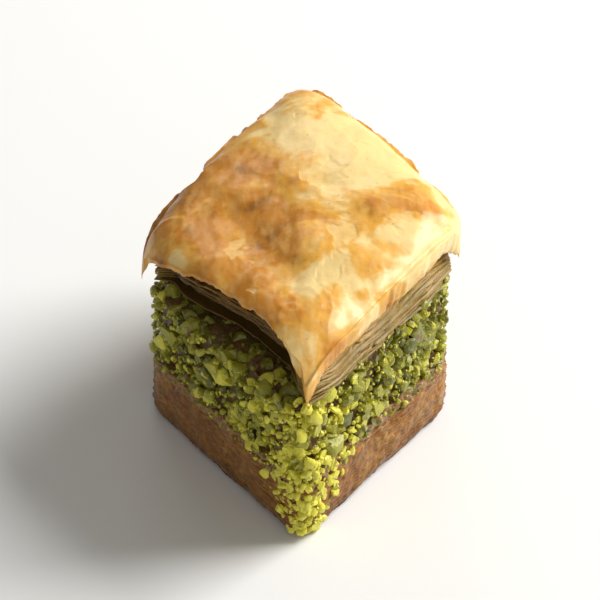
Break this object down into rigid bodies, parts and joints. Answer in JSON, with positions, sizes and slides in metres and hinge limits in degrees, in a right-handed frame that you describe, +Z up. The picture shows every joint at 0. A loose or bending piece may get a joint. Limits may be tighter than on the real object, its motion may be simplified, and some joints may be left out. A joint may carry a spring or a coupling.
{
  "type": "baklava piece",
  "caption": "Diamond-cut piece of pistachio baklava with a soaked pastry base, a chopped nut filling and a domed, glazed, flaky crust; it stands on its flat underside.",
  "frame": {"origin": "centre of the underside, below the middle of the piece's outline", "axes": "+Z up from the underside to the crust; +Y along the diamond's long diagonal, towards its back corner, so the front corner points along -Y; +X along the short diagonal"},
  "size_m": [0.0304, 0.0426, 0.0257],
  "materials": {
    "soaked_pastry": "sticky with syrup",
    "chopped_pistachio": "coarsely chopped, damp with syrup",
    "glazed_crust": "baked and glazed with syrup"
  },
  "bodies": {
    "root": {"base_pastry": "soaked_pastry", "pistachio_filling": "chopped_pistachio", "top_pastry": "glazed_crust"}
  },
  "joints": []
}
